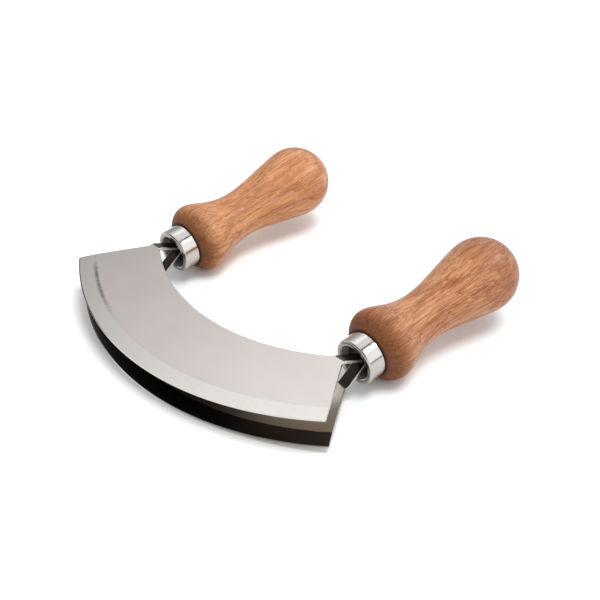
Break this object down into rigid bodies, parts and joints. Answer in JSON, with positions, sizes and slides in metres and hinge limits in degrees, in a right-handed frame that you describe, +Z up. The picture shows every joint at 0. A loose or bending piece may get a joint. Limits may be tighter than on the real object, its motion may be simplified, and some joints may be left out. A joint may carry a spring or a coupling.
{
  "type": "mezzaluna",
  "caption": "Rocking herb knife: parallel crescent steel blades whose folded tangs enter polished ferrules on upright turned wooden handles.",
  "frame": {"origin": "under the middle of the knife's box, on the surface that the knife lies on", "axes": "+X along the chord of the blades, from the left handle to the right; +Y from the cutting edges towards the handle ends; +Z up from the surface that the knife lies on"},
  "size_m": [0.1794, 0.1698, 0.0435],
  "materials": {
    "blade_steel": "satin stainless sheet, with a finely ground band along the cutting edge",
    "ferrule_steel": "polished stainless steel",
    "handle_wood": "oiled, semi-gloss, grain along the handle",
    "bedding_resin": "dark cast resin"
  },
  "bodies": {
    "root": {"upper_blade": "blade_steel", "lower_blade": "blade_steel", "left_ferrule": "ferrule_steel", "right_ferrule": "ferrule_steel", "left_handle": "handle_wood", "right_handle": "handle_wood", "left_tang_bedding": "bedding_resin", "right_tang_bedding": "bedding_resin"}
  },
  "joints": []
}
